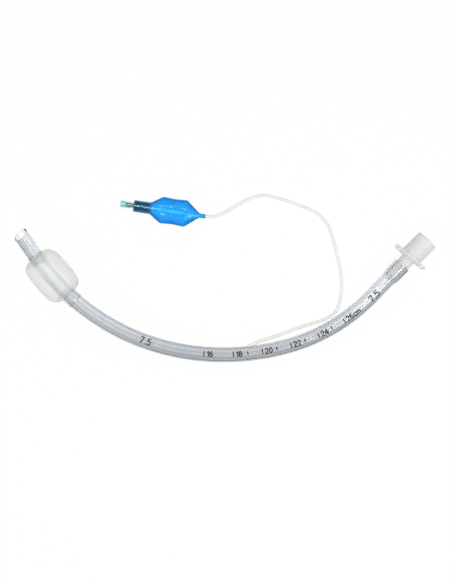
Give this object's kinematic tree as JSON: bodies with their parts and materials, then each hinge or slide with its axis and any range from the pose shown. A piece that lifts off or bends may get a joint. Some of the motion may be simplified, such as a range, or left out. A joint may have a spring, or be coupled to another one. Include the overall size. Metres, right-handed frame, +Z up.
{
  "type": "endotracheal tube",
  "caption": "Curved clear breathing tube with bevelled tip, side eye, inflatable barrel cuff, ear-flanged cone connector, thin pilot line, flat pilot balloon and sprung check valve.",
  "frame": {"origin": "centre of the base of the bounding box of everything but the pilot line, on the table", "axes": "+X along the longest extent, from the cuffed tip towards the connector; +Y towards the inside of the tube's curve; +Z up from the table"},
  "size_m": [0.2838, 0.1153, 0.0271],
  "materials": {
    "clear_pvc": "clear, gloss",
    "cuff_film": "frosted film",
    "milky_plastic": "milky, satin",
    "line_pvc": "gloss",
    "blue_film": "gloss film",
    "teal_plastic": "gloss",
    "amber_plastic": "gloss",
    "seal_rubber": "matte",
    "spring_steel": "drawn wire"
  },
  "bodies": {
    "airway": {"tube": "clear_pvc", "cuff": "cuff_film", "connector": "milky_plastic", "pilot_line": "line_pvc", "pilot_balloon": "blue_film", "valve_housing": "teal_plastic", "valve_retainer": "teal_plastic", "valve_spring": "spring_steel"},
    "plunger": {"valve_plunger": "amber_plastic", "valve_seal": "seal_rubber"}
  },
  "joints": [
    {"name": "plunger_press", "type": "slide", "parent": "airway", "child": "plunger", "axis": [0.989, -0.1478, 0], "range_m": [0, 0.0012], "stiffness_N_per_m": 1500, "springref_m": -0.0015, "deforming": ["valve_spring"]}
  ]
}
